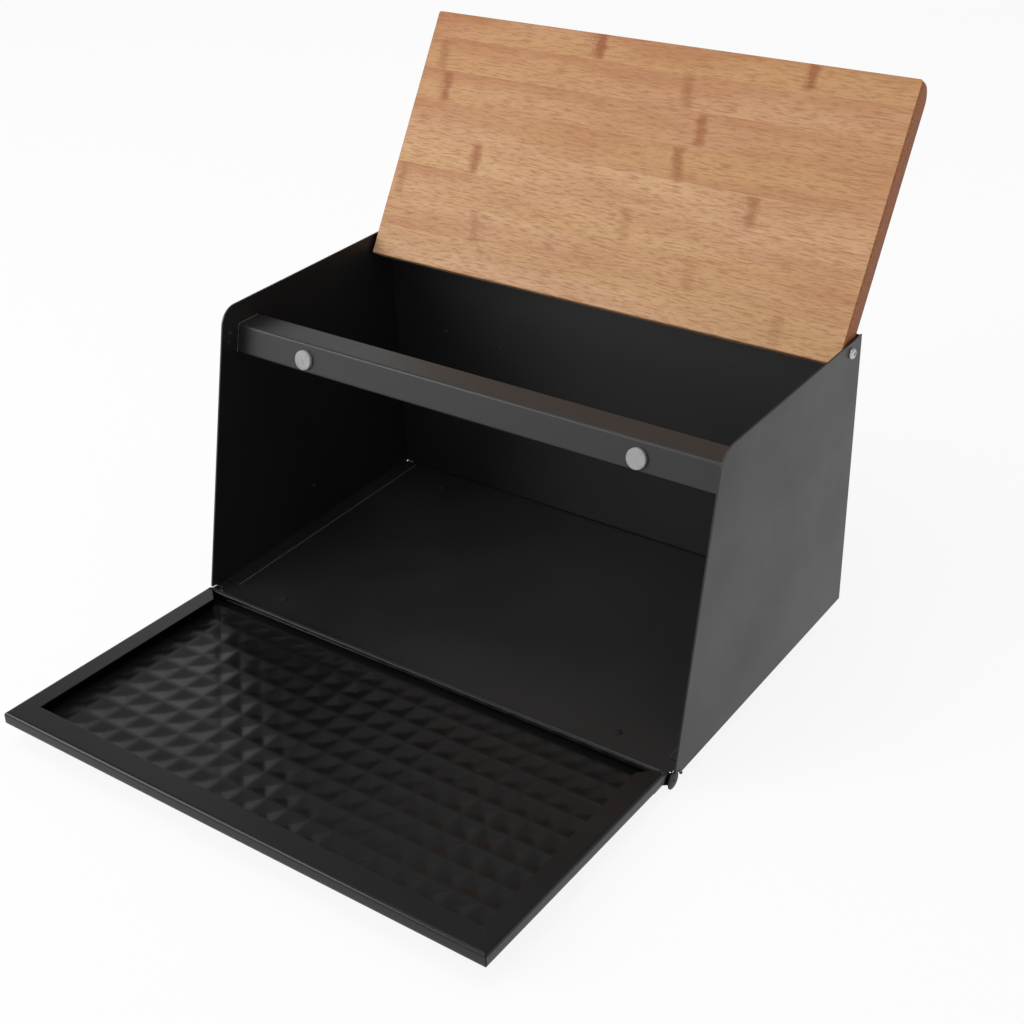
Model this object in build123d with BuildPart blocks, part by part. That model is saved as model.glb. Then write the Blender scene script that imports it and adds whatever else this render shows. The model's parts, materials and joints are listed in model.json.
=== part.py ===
from build123d import *
import math
import os

os.makedirs("parts", exist_ok=True)

# Sizes are in millimetres. The box stands on the ground plane with +Z up and its front towards -Y.
# Places ending in _y and _z are counted from the front bottom corner of the side panels.

# Case: outer size of the side panels, the sheet and the fits.
CASE_WIDTH = 340.0
CASE_DEPTH = 204.0
CASE_HEIGHT = 179.0
FRONT_LEAN = 42.0
FRONT_CORNER_R = 13.0
REAR_CORNER_R = 2.0
SHEET = 1.0
BEND_R = 0.6
RUNNING_FIT = 0.05
PRESS_FIT = 0.02
SIDE_PLAY = 0.1

# Flanges that join the panels of the case.
BOTTOM_FLANGE = 10.0
REAR_FLANGE = 11.0
FLANGE_START_Y = 14.0
WING_START_Y = 9.0
EAR_CLEAR = 0.3
FLANGE_RELIEF = 4.0
REAR_FLANGE_START = 12.0
FLOOR_REAR_FLANGE = 10.0

# Hinge of the door: a rod held in the curled front edge of the floor.
HINGE_Y = 2.0
ROD_R = 1.5
CURL_ANGLE = 270.0
CURL_SETBACK = 5.0
EAR_R = 3.4
NOTCH_R = 6.3
HINGE_WASHER_R = 3.0
HINGE_CAP_R = 3.0
HINGE_CAP = 1.6
ROD_GRIP = 1.0
STOP_WIDTH = 7.0
STOP_REACH = 14.0
STOP_GAP = 0.1

# Door pan, with its folded flanges and quilted skin.
DOOR_SIDE_GAP = 2.2
DOOR_TOP_DROP = 6.0
DOOR_THICK = 8.4
DOOR_START = 5.0
DOOR_INNER = 9.0
DOOR_TILT = 2.34
DOOR_BEND_R = 2.0
SIDE_RETURN = 13.0
FAR_RETURN = 15.0
REAR_HEM = 4.0
REAR_MITRE = 10.5
SEAM = 0.3
QUILT_PITCH_ACROSS = 15.5
QUILT_PITCH_ALONG = 15.85
QUILT_HEIGHT = 1.2
QUILT_SIDE_MARGIN = 11.5
QUILT_REAR_MARGIN = 4.0
QUILT_FAR_MARGIN = 17.0
QUILT_ROOT = 0.5

# Lid board and its pivot screws.
LID_SIDE_GAP = 1.5
LID_OVERHANG = 5.9
LID_THICK = 13.2
LID_ABOVE = 6.25
LID_BEHIND = 9.0
LID_FRONT_FLAT = 0.4
LID_EASE = 1.0
LID_END_EASE = 0.8
LID_CORNER_R = 3.0
LID_CORNER_OUT = 0.05
LID_STOP_GAP = 0.06
PIVOT_INSET = 13.5
PIVOT_DROP = 6.5
SCREW_R = 2.0
SCREW_HEAD_R = 3.2
SCREW_HEAD = 2.2
SCREW_EDGE = 0.8
SOCKET_R = 1.3
SOCKET_DEPTH = 1.3
INSERT_R = 3.0
INSERT_LENGTH = 12.0
INSERT_CLEAR = 1.0
PIVOT_WASHER_R = 4.5

# Crossbar and its magnets.
BAR_DEPTH = 17.7
BAR_FACE = 17.9
BAR_RETURN = 8.0
BAR_TAB = 12.0
LID_REST_GAP = 0.15
MAGNET_R = 6.0
MAGNET_PROUD = 2.0
MAGNET_STEM_R = 2.5
MAGNET_INSET = 55.0
MAGNET_DROP = 10.2
MAGNET_GAP = 0.3

# Feet.
FOOT_HEIGHT = 7.0
FOOT_R = 7.5
FOOT_STEM_R = 2.0
FOOT_LIP_R = 2.6
FOOT_LIP = 0.6
FOOT_INSET_SIDE = 46.0
FOOT_INSET_FRONT = 18.0
FOOT_INSET_REAR = 20.0

# Places that follow from the sizes above.
half_width = CASE_WIDTH / 2
inner_half = half_width - SHEET
slope = math.atan2(FRONT_LEAN, CASE_HEIGHT)
back_y = CASE_DEPTH - 2 * SHEET
curl_r = ROD_R + RUNNING_FIT + SHEET
hinge_z = -curl_r
door_half = inner_half - DOOR_SIDE_GAP
skin = DOOR_INNER - DOOR_THICK
curl_half = inner_half - CURL_SETBACK
tilt = math.radians(DOOR_TILT)
lid_half = inner_half - LID_SIDE_GAP
lid_below = LID_THICK - LID_ABOVE
pivot_y = CASE_DEPTH - PIVOT_INSET
pivot_z = CASE_HEIGHT - PIVOT_DROP
lid_reach = pivot_y - FRONT_LEAN + LID_OVERHANG
lid_front_r = LID_THICK - LID_EASE - LID_FRONT_FLAT

# The crossbar's face stands behind the closed door by the magnets, and its top just under the closed
# lid. The closed door's free edge stays below the crossbar's top bend, which sets the door's length.
bar_inward = HINGE_Y * math.cos(slope) - hinge_z * math.sin(slope)
bar_inward += DOOR_INNER + MAGNET_GAP + MAGNET_PROUD
bar_z = pivot_z - lid_below - LID_REST_GAP
bar_up = (bar_z + bar_inward * math.sin(slope)) / math.cos(slope)
hinge_up = HINGE_Y * math.sin(slope) + hinge_z * math.cos(slope)
door_end = bar_up - DOOR_TOP_DROP - hinge_up
door_length = door_end - DOOR_START

# The open lid leans on the inner top edge of the back panel, which sets its angle to the rear.
stop_y = back_y - pivot_y
stop_z = CASE_HEIGHT - pivot_z
lid_angle = math.atan2(stop_z, stop_y)
lid_angle += math.asin((LID_ABOVE + LID_STOP_GAP) / math.hypot(stop_y, stop_z))

# The origin lies on the ground under the middle of the box as it stands open.
lid_tip_y = pivot_y + math.cos(lid_angle) * (lid_reach - lid_front_r)
lid_tip_y += math.sin(lid_angle) * (LID_ABOVE - lid_front_r) + lid_front_r
door_tip_y = HINGE_Y - math.cos(tilt) * (door_end - DOOR_BEND_R)
door_tip_y += math.sin(tilt) * (skin + DOOR_BEND_R) - DOOR_BEND_R
case_y = -(lid_tip_y + door_tip_y) / 2
case_z = FOOT_HEIGHT + SHEET


def case_side(x):
    # Side view at x: sketch x runs to the back and sketch y runs up.
    return Plane(origin=(x, case_y, case_z), x_dir=(0, 1, 0), z_dir=(1, 0, 0))


def case_level(height):
    # Plan view at a height over the bottom edge of the side panels: sketch y runs to the back.
    return Plane(origin=(0, case_y, case_z + height), x_dir=(1, 0, 0), z_dir=(0, 0, 1))


def door_place(along, out):
    # Side view place of a point of the open door, counted from the hinge along and out of its inner face.
    y = HINGE_Y - along * math.cos(tilt) + out * math.sin(tilt)
    z = hinge_z + along * math.sin(tilt) + out * math.cos(tilt)
    return (y, z)


def door_side(x):
    # Side view of the door: sketch x runs along the leaf and sketch y out of its inner face.
    y, z = door_place(0, 0)
    leaf = (0, -math.cos(tilt), math.sin(tilt))
    return Plane(origin=(x, case_y + y, case_z + z), x_dir=leaf, z_dir=(-1, 0, 0))


def door_level(out):
    # Face view of the door: sketch y runs back towards the hinge.
    y, z = door_place(0, out)
    outward = (0, math.sin(tilt), math.cos(tilt))
    return Plane(origin=(0, case_y + y, case_z + z), x_dir=(1, 0, 0), z_dir=outward)


def door_across(along):
    # End view of the door: sketch y runs out of the inner face.
    y, z = door_place(along, 0)
    leaf = (0, -math.cos(tilt), math.sin(tilt))
    return Plane(origin=(0, case_y + y, case_z + z), x_dir=(1, 0, 0), z_dir=leaf)


def lid_side(x):
    # Side view of the open lid: sketch x runs to the free edge and sketch y to the top face.
    to_edge = (0, math.cos(lid_angle), math.sin(lid_angle))
    origin = (x, case_y + pivot_y, case_z + pivot_z)
    return Plane(origin=origin, x_dir=to_edge, z_dir=(-1, 0, 0))


def lid_level(height):
    # Plan view of the open lid at a height over its pivot: sketch y runs to the free edge.
    upward = (0, math.sin(lid_angle), -math.cos(lid_angle))
    middle = Plane(origin=(0, case_y + pivot_y, case_z + pivot_z), x_dir=(-1, 0, 0), z_dir=upward)
    return middle.offset(height)


def slope_place(up, inward):
    # Side view place of a point counted up the leaning front edge and inward from it.
    y = up * math.sin(slope) + inward * math.cos(slope)
    z = up * math.cos(slope) - inward * math.sin(slope)
    return (y, z)


def save(piece, name):
    piece.label = name
    export_step(piece, f"parts/{name}.step")


# Side panels: a flat sheet with a leaning front edge, a round notch at the hinge, and a bottom and a
# rear flange folded inward. The left one is the right one mirrored.
with BuildPart() as right_side_panel:
    with BuildSketch(case_side(inner_half)) as side_outline:
        Polygon((0, 0), (CASE_DEPTH, 0), (CASE_DEPTH, CASE_HEIGHT), (FRONT_LEAN, CASE_HEIGHT), align=None)
        top_corners = side_outline.vertices().group_by(Axis.Y)[-1].sort_by(Axis.X)
        fillet(top_corners[0], FRONT_CORNER_R)
        fillet(top_corners[-1], REAR_CORNER_R)
        with Locations((HINGE_Y, hinge_z)):
            Circle(NOTCH_R, mode=Mode.SUBTRACT)
        with Locations((pivot_y, pivot_z)):
            Circle(SCREW_R + RUNNING_FIT, mode=Mode.SUBTRACT)
    extrude(amount=SHEET)
    with BuildSketch(case_level(0)):
        with Locations((half_width - BEND_R, FLANGE_START_Y)):
            flange_length = CASE_DEPTH - FLANGE_START_Y - FLANGE_RELIEF
            Rectangle(BOTTOM_FLANGE - BEND_R, flange_length, align=(Align.MAX, Align.MIN))
    extrude(amount=SHEET)
    with BuildSketch(case_level(REAR_FLANGE_START)):
        with Locations((half_width - BEND_R, CASE_DEPTH)):
            Rectangle(REAR_FLANGE - BEND_R, SHEET, align=(Align.MAX, Align.MAX))
    extrude(amount=CASE_HEIGHT - REAR_FLANGE_START - REAR_CORNER_R)
    outer_edges = right_side_panel.faces().sort_by(Axis.X)[-1].edges()
    fold_edges = [outer_edges.filter_by(Axis.Y).sort_by(Axis.Z)[0]]
    fold_edges.append(outer_edges.filter_by(Axis.Z).sort_by(Axis.Y)[-1])
    fillet(fold_edges, BEND_R)
save(right_side_panel.part, "right_side_panel")

with BuildPart() as left_side_panel:
    add(mirror(right_side_panel.part, about=Plane.YZ, mode=Mode.PRIVATE))
save(left_side_panel.part, "left_side_panel")


# Back panel: a flat sheet between the side panels, in front of their rear flanges.
with BuildPart() as back_panel:
    with BuildSketch(case_level(BEND_R)):
        with Locations((0, back_y)):
            Rectangle(2 * inner_half, SHEET, align=(Align.CENTER, Align.MIN))
    extrude(amount=CASE_HEIGHT - BEND_R)
save(back_panel.part, "back_panel")


# Floor panel: a sheet whose rear edge is folded up behind the back panel and whose front edge is
# curled round the hinge rod. Two tongues run forward under the door and stop it when it is open.
with BuildPart() as floor_panel:
    with BuildSketch(case_side(-curl_half)):
        with BuildLine():
            FilletPolyline(
                (CASE_DEPTH - SHEET, FLOOR_REAR_FLANGE),
                (CASE_DEPTH - SHEET, 0),
                (HINGE_Y, 0),
                radius=BEND_R,
            )
            CenterArc((HINGE_Y, hinge_z), curl_r, 90, CURL_ANGLE)
            offset(amount=SHEET, side=Side.LEFT)
        make_face()
    extrude(amount=2 * curl_half)
    with BuildSketch(case_level(-SHEET)):
        with Locations((0, CASE_DEPTH - SHEET)):
            wing_length = CASE_DEPTH - SHEET - WING_START_Y
            Rectangle(2 * (inner_half - BEND_R), wing_length, align=(Align.CENTER, Align.MAX))
        with Locations((0, WING_START_Y)):
            front_length = WING_START_Y - HINGE_Y - HINGE_WASHER_R - EAR_CLEAR
            Rectangle(2 * (door_half - SHEET - EAR_CLEAR), front_length, align=(Align.CENTER, Align.MAX))
    extrude(amount=SHEET)
    with BuildSketch(case_level(0)):
        rear_clear = REAR_FLANGE + SHEET
        for side in (-1, 1):
            with Locations((side * half_width, CASE_DEPTH)):
                Rectangle(2 * rear_clear, 2 * SHEET)
    extrude(amount=FLOOR_REAR_FLANGE, mode=Mode.SUBTRACT)
    stop_foot = (HINGE_Y, hinge_z - curl_r)
    stop_tip = door_place(STOP_REACH, skin - STOP_GAP)
    stop_knee = (stop_tip[0] - (stop_tip[1] - stop_foot[1]) * math.tan(tilt), stop_foot[1])
    for stop_x in (-curl_half, curl_half - STOP_WIDTH):
        with BuildSketch(case_side(stop_x)):
            with BuildLine():
                FilletPolyline(stop_foot, stop_knee, stop_tip, radius=SHEET + BEND_R)
                offset(amount=SHEET, side=Side.RIGHT)
            make_face()
        extrude(amount=STOP_WIDTH)
    foot_x = half_width - FOOT_INSET_SIDE
    foot_ys = (FOOT_INSET_FRONT, CASE_DEPTH - FOOT_INSET_REAR)
    foot_places = [(x, y) for x in (-foot_x, foot_x) for y in foot_ys]
    with BuildSketch(case_level(-SHEET)):
        with Locations(*foot_places):
            Circle(FOOT_STEM_R + PRESS_FIT)
    extrude(amount=SHEET, mode=Mode.SUBTRACT)
save(floor_panel.part, "floor_panel")


# Crossbar: a folded channel from side panel to side panel. Its face leans with the closed door, its top
# carries the front of the closed lid, and its end tabs are welded to the side panels.
bar_top = slope_place(bar_up, bar_inward)
bar_low = slope_place(bar_up - BAR_FACE, bar_inward)
bar_back = slope_place(bar_up - BAR_FACE, bar_inward + BAR_RETURN)
tab_top = bar_z - SHEET
magnet_x = half_width - MAGNET_INSET
magnet_places = ((-magnet_x, -MAGNET_DROP), (magnet_x, -MAGNET_DROP))


def bar_face(depth):
    # View of the crossbar's face from the door: sketch y runs up the slope from its top bend.
    y, z = slope_place(bar_up, bar_inward + depth)
    outward = (0, -math.cos(slope), math.sin(slope))
    return Plane(origin=(0, case_y + y, case_z + z), x_dir=(1, 0, 0), z_dir=outward)


with BuildPart() as crossbar:
    with BuildSketch(case_side(-inner_half)):
        with BuildLine():
            FilletPolyline((bar_top[0] + BAR_DEPTH, bar_z), bar_top, bar_low, bar_back, radius=SHEET + BEND_R)
            offset(amount=SHEET, side=Side.LEFT)
        make_face()
    extrude(amount=2 * inner_half)
    for tab_x in (-inner_half, inner_half - SHEET):
        with BuildSketch(case_side(tab_x)):
            with BuildLine():
                tab_front = bar_top[0] + 2 * SHEET
                tab_back = bar_top[0] + BAR_DEPTH
                Polyline(
                    (tab_front, tab_top),
                    (tab_back, tab_top),
                    (tab_back, tab_top - BAR_TAB / 2),
                    (tab_front, tab_top - BAR_TAB),
                    close=True,
                )
            make_face()
        extrude(amount=SHEET)
    with BuildSketch(bar_face(0)):
        with Locations(*magnet_places):
            Circle(MAGNET_STEM_R + PRESS_FIT)
    extrude(amount=-SHEET, mode=Mode.SUBTRACT)
save(crossbar.part, "crossbar")


# Magnets: round discs that stand out of the crossbar's face, each held by a stem through the sheet.
for name, place in zip(("left_magnet", "right_magnet"), magnet_places):
    with BuildPart() as magnet:
        with BuildSketch(bar_face(0)):
            with Locations(place):
                Circle(MAGNET_R)
        extrude(amount=MAGNET_PROUD)
        chamfer(magnet.edges().filter_by(GeomType.CIRCLE).sort_by(Axis.Y)[0], BEND_R / 2)
        with BuildSketch(bar_face(0)):
            with Locations(place):
                Circle(MAGNET_STEM_R)
        extrude(amount=-SHEET)
    save(magnet.part, name)


# Lid: one bamboo board. Its front top edge is well rounded, its other edges are eased, its two free
# corners are rounded, and a threaded insert sits in each end.
with BuildPart() as lid_board:
    with BuildSketch(lid_side(lid_half)) as lid_section:
        Polygon(
            (-LID_BEHIND, -lid_below),
            (lid_reach, -lid_below),
            (lid_reach, LID_ABOVE),
            (-LID_BEHIND, LID_ABOVE),
            align=None,
        )
        fillet(lid_section.vertices().group_by(Axis.X)[-1].sort_by(Axis.Y)[-1], lid_front_r)
        section_corners = lid_section.vertices()
        front_low_corner = section_corners.group_by(Axis.Y)[0].sort_by(Axis.X)[-1:]
        fillet(section_corners.group_by(Axis.X)[0] + front_low_corner, LID_EASE)
    extrude(amount=2 * lid_half)
    chamfer(lid_board.faces().filter_by(Axis.X).edges(), LID_END_EASE)
    with BuildSketch(lid_level(-lid_below - LID_EASE)) as lid_plan:
        plan_half = lid_half + LID_CORNER_OUT
        plan_length = LID_BEHIND + LID_EASE + lid_reach + LID_CORNER_OUT
        with Locations((0, -LID_BEHIND - LID_EASE)):
            Rectangle(2 * plan_half, plan_length, align=(Align.CENTER, Align.MIN))
        fillet(lid_plan.vertices().group_by(Axis.Y)[-1], LID_CORNER_R)
    extrude(amount=LID_THICK + 2 * LID_EASE, mode=Mode.INTERSECT)
    for end_x, inward in ((lid_half, 1), (-lid_half, -1)):
        with BuildSketch(lid_side(end_x)):
            Circle(INSERT_R + PRESS_FIT)
        extrude(amount=inward * (INSERT_LENGTH + INSERT_CLEAR), mode=Mode.SUBTRACT)
save(lid_board.part, "lid_board")


# Pivot screws: a button head outside the side panel and a shank that runs into the board.
with BuildPart() as right_pivot_screw:
    with BuildSketch(case_side(half_width + RUNNING_FIT)):
        with Locations((pivot_y, pivot_z)):
            Circle(SCREW_HEAD_R)
    extrude(amount=SCREW_HEAD)
    chamfer(right_pivot_screw.edges().sort_by(Axis.X)[-1], SCREW_EDGE)
    with BuildSketch(case_side(half_width + RUNNING_FIT + SCREW_HEAD - SOCKET_DEPTH)):
        with Locations((pivot_y, pivot_z)):
            RegularPolygon(SOCKET_R, 6)
    extrude(amount=SOCKET_DEPTH, mode=Mode.SUBTRACT)
    with BuildSketch(case_side(lid_half - INSERT_LENGTH)):
        with Locations((pivot_y, pivot_z)):
            Circle(SCREW_R)
    extrude(amount=half_width + RUNNING_FIT - lid_half + INSERT_LENGTH)
save(right_pivot_screw.part, "right_pivot_screw")

with BuildPart() as left_pivot_screw:
    add(mirror(right_pivot_screw.part, about=Plane.YZ, mode=Mode.PRIVATE))
save(left_pivot_screw.part, "left_pivot_screw")


# Threaded inserts: brass sleeves pressed into the ends of the board.
for name, end_x, inward in (("right_thread_insert", lid_half, 1), ("left_thread_insert", -lid_half, -1)):
    with BuildPart() as insert:
        with BuildSketch(lid_side(end_x)):
            Circle(INSERT_R)
            Circle(SCREW_R + PRESS_FIT, mode=Mode.SUBTRACT)
        extrude(amount=inward * INSERT_LENGTH)
    save(insert.part, name)


# Spacer washers: plastic rings that keep the board clear of the side panels.
for name, side in (("left_spacer_washer", -1), ("right_spacer_washer", 1)):
    with BuildPart() as spacer:
        with BuildSketch(case_side(side * (lid_half + RUNNING_FIT))):
            with Locations((pivot_y, pivot_z)):
                Circle(PIVOT_WASHER_R)
                Circle(SCREW_R + RUNNING_FIT, mode=Mode.SUBTRACT)
        extrude(amount=side * (LID_SIDE_GAP - 2 * RUNNING_FIT))
    save(spacer.part, name)


# Quilting tool: a field of low pyramids with a common root, as wide as the pressed part of the skin.
quilt_columns = int(2 * (door_half - QUILT_SIDE_MARGIN) / QUILT_PITCH_ACROSS)
quilt_rows = int((door_length - QUILT_REAR_MARGIN - QUILT_FAR_MARGIN) / QUILT_PITCH_ALONG)
field_width = quilt_columns * QUILT_PITCH_ACROSS
field_length = quilt_rows * QUILT_PITCH_ALONG
field_start = DOOR_START + QUILT_REAR_MARGIN


def pyramid_outline(pitch):
    # Cross-section of one pyramid and its root, with the apex pointing out of the skin.
    edge = pitch / 2
    return [(-edge, QUILT_ROOT), (-edge, 0), (0, -QUILT_HEIGHT), (edge, 0), (edge, QUILT_ROOT)]


with BuildPart() as quilt_field:
    with BuildSketch(door_across(field_start)):
        with Locations((0, skin)):
            with GridLocations(QUILT_PITCH_ACROSS, 0, quilt_columns, 1):
                Polygon(*pyramid_outline(QUILT_PITCH_ACROSS), align=None)
    extrude(amount=field_length)
    with BuildSketch(door_side(field_width / 2)):
        with Locations((field_start + field_length / 2, skin)):
            with GridLocations(QUILT_PITCH_ALONG, 0, quilt_rows, 1):
                Polygon(*pyramid_outline(QUILT_PITCH_ALONG), align=None)
    extrude(amount=field_width, mode=Mode.INTERSECT)


# Hollow of the door pan, one sheet smaller than the pan all round.
with BuildPart() as pan_hollow:
    with BuildSketch(door_level(skin + SHEET)):
        with Locations((0, -(DOOR_START + SHEET))):
            hollow_length = door_length - 2 * SHEET
            Rectangle(2 * (door_half - SHEET), hollow_length, align=(Align.CENTER, Align.MAX))
    extrude(amount=DOOR_THICK - 2 * SHEET)
    hollow_faces = pan_hollow.faces().sort_by(Axis.Z)
    fillet(hollow_faces[0].edges() + hollow_faces[-1].edges(), DOOR_BEND_R - SHEET)


# Door: one sheet folded into a shallow pan. Its skin is quilted, its side and far walls turn back inward
# as flanges with mitred ends, its rear wall ends in a round hem, and ears run down to the hinge rod.
with BuildPart() as door_panel:
    with BuildSketch(door_level(skin)):
        with Locations((0, -DOOR_START)):
            Rectangle(2 * door_half, door_length, align=(Align.CENTER, Align.MAX))
    extrude(amount=DOOR_THICK)
    pan_faces = door_panel.faces().sort_by(Axis.Z)
    fillet(pan_faces[0].edges() + pan_faces[-1].edges(), DOOR_BEND_R)
    add(quilt_field.part)
    for ear_x in (door_half, SHEET - door_half):
        with BuildSketch(door_side(ear_x)):
            Circle(EAR_R)
            with Locations((DOOR_START + DOOR_BEND_R, skin + DOOR_BEND_R)):
                ear_rise = DOOR_THICK - 2 * DOOR_BEND_R
                Rectangle(EAR_R, ear_rise, align=(Align.MIN, Align.MIN))
            make_hull()
        extrude(amount=SHEET)
    add(pan_hollow.part, mode=Mode.SUBTRACT)
    with Locations(Vector(0, math.sin(tilt), math.cos(tilt)) * SHEET):
        add(quilt_field.part, mode=Mode.SUBTRACT)
    with BuildSketch(door_level(DOOR_INNER)):
        opening_half = door_half - SIDE_RETURN
        opening_end = door_end - FAR_RETURN
        Polygon(
            (-door_half, SHEET - DOOR_START),
            (door_half, SHEET - DOOR_START),
            (opening_half, -(DOOR_START + REAR_MITRE)),
            (opening_half, -opening_end),
            (-opening_half, -opening_end),
            (-opening_half, -(DOOR_START + REAR_MITRE)),
            align=None,
        )
    extrude(amount=-(DOOR_BEND_R + SEAM), mode=Mode.SUBTRACT)
    hem_half = door_half - DOOR_BEND_R - SEAM
    with BuildSketch(door_side(hem_half)):
        with Locations((DOOR_START, DOOR_INNER - SHEET)):
            Rectangle(2 * SHEET, REAR_HEM - SHEET, align=(Align.MIN, Align.MAX))
        with Locations((DOOR_START + SHEET, DOOR_INNER - SHEET)):
            Circle(SHEET)
    extrude(amount=2 * hem_half)
    with BuildSketch(door_level(DOOR_INNER)):
        for side in (-1, 1):
            mitre_length = math.hypot(SIDE_RETURN, FAR_RETURN)
            mitre_angle = -side * math.degrees(math.atan2(FAR_RETURN, SIDE_RETURN))
            with Locations((side * (door_half - SIDE_RETURN / 2), -(door_end - FAR_RETURN / 2))):
                Rectangle(mitre_length + 2 * SHEET, SEAM, rotation=mitre_angle)
    extrude(amount=DOOR_BEND_R - DOOR_THICK, mode=Mode.SUBTRACT)
    with BuildSketch(door_side(door_half)):
        Circle(ROD_R + RUNNING_FIT)
    extrude(amount=2 * door_half, mode=Mode.SUBTRACT)
save(door_panel.part, "door_panel")


# Hinge rod, with a washer inside each ear of the door and a push-on cap outside it.
with BuildPart() as hinge_rod:
    rod_half = door_half + SIDE_PLAY + ROD_GRIP
    with BuildSketch(case_side(-rod_half)):
        with Locations((HINGE_Y, hinge_z)):
            Circle(ROD_R)
    extrude(amount=2 * rod_half)
save(hinge_rod.part, "hinge_rod")

for name, side in (("left_hinge_washer", -1), ("right_hinge_washer", 1)):
    with BuildPart() as washer:
        with BuildSketch(case_side(side * (curl_half + SIDE_PLAY))):
            with Locations((HINGE_Y, hinge_z)):
                Circle(HINGE_WASHER_R)
                Circle(ROD_R + RUNNING_FIT, mode=Mode.SUBTRACT)
        extrude(amount=side * (door_half - SHEET - curl_half - 2 * SIDE_PLAY))
    save(washer.part, name)

for name, side in (("left_hinge_cap", -1), ("right_hinge_cap", 1)):
    with BuildPart() as cap:
        with BuildSketch(case_side(side * (door_half + SIDE_PLAY))):
            with Locations((HINGE_Y, hinge_z)):
                Circle(HINGE_CAP_R)
        extrude(amount=side * HINGE_CAP)
        chamfer(cap.edges().filter_by(GeomType.CIRCLE).sort_by(Axis.X)[-1 if side > 0 else 0], BEND_R)
        with BuildSketch(case_side(side * (door_half + SIDE_PLAY))):
            with Locations((HINGE_Y, hinge_z)):
                Circle(ROD_R + PRESS_FIT)
        extrude(amount=side * ROD_GRIP, mode=Mode.SUBTRACT)
    save(cap.part, name)


# Feet: round rubber studs, each pushed through the floor up to the lip on its stem.
foot_names = ("left_front_foot", "left_rear_foot", "right_front_foot", "right_rear_foot")
for name, place in zip(foot_names, foot_places):
    with BuildPart() as foot:
        foot_origin = (place[0], case_y + place[1], 0)
        with BuildSketch(Plane(origin=foot_origin, x_dir=(1, 0, 0), z_dir=(0, -1, 0))):
            with BuildLine():
                Polyline(
                    (0, 0),
                    (FOOT_R, 0),
                    (FOOT_R, FOOT_HEIGHT),
                    (FOOT_STEM_R, FOOT_HEIGHT),
                    (FOOT_STEM_R, FOOT_HEIGHT + SHEET),
                    (FOOT_LIP_R, FOOT_HEIGHT + SHEET),
                    (FOOT_LIP_R, FOOT_HEIGHT + SHEET + FOOT_LIP),
                    (0, FOOT_HEIGHT + SHEET + FOOT_LIP),
                    close=True,
                )
            make_face()
        revolve(axis=Axis(foot_origin, (0, 0, 1)))
    save(foot.part, name)
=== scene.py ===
import json
from math import atan2, cos, pi, radians, sin

import bmesh
import bpy
from mathutils import Matrix, Vector


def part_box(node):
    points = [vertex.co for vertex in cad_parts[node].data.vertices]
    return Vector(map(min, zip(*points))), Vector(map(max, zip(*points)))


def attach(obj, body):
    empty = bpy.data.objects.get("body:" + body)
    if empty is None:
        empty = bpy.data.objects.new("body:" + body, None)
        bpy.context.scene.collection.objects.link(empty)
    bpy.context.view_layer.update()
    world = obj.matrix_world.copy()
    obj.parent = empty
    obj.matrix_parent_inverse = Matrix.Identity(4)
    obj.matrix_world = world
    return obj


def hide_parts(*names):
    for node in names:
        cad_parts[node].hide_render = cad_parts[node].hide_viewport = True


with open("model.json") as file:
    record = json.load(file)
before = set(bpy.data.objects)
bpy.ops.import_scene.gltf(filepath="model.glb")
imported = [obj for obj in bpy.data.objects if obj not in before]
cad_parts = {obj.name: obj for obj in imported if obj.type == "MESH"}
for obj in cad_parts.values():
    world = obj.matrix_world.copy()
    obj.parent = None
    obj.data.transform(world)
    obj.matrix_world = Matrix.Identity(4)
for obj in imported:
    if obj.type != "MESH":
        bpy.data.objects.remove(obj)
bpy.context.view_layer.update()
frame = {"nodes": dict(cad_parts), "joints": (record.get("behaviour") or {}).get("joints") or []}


# Case panels: two sides, a back and a floor, each one mild steel sheet of 1 mm, cut, punched and folded,
# then spot welded at the flanges and powder coated black in one go. The coat is satin with a fine
# orange-peel skin. Its cut edges are painted lighter, partly for the thinner coat there and partly as a
# painted highlight, and it holds the odd grain of dust.
coat_black = (0.0085, 0.0085, 0.0088, 1)
# The lighter colour of cut edges: a thinner coat, and a painted highlight.
thin_coat_and_edge_highlight = (0.034, 0.034, 0.035, 1)
coat_dust = (0.030, 0.029, 0.028, 1)
edge_round = 0.00035
dust_scale = 420.0
patch_scale = 16.0
peel_scale = 750.0
peel_depth = 0.0001
nodes = frame["nodes"]


def new_material(name):
    material = bpy.data.materials.new(name)
    material.use_nodes = True
    return material, material.node_tree.nodes["Principled BSDF"]


def add(material, kind, values=(), **settings):
    # A node with its settings, and values for its sockets by name or number.
    node = material.node_tree.nodes.new(kind)
    for key, value in settings.items():
        setattr(node, key, value)
    for key, value in dict(values).items():
        node.inputs[key].default_value = value
    return node


def join(material, source, target):
    # source and target are (node, socket) pairs.
    material.node_tree.links.new(source[0].outputs[source[1]], target[0].inputs[target[1]])


def noise(material, place, scale, detail=3.0, rough=0.5):
    node = add(material, "ShaderNodeTexNoise", {"Scale": scale, "Detail": detail, "Roughness": rough})
    join(material, place, (node, "Vector"))
    return (node, "Fac")


def band(material, source, low, high, out_low=0.0, out_high=1.0):
    # Maps the stretch from low to high of a value onto another, held at both ends.
    values = {"From Min": low, "From Max": high, "To Min": out_low, "To Max": out_high}
    node = add(material, "ShaderNodeMapRange", values)
    join(material, source, (node, "Value"))
    return (node, "Result")


def blend_color(material, amount, first, second):
    # Each colour is four numbers or the (node, socket) pair that gives it.
    node = add(material, "ShaderNodeMix", data_type="RGBA")
    join(material, amount, (node, 0))
    for number, colour in ((6, first), (7, second)):
        if isinstance(colour[0], (int, float)):
            node.inputs[number].default_value = colour
        else:
            join(material, colour, (node, number))
    return (node, 2)


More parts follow.
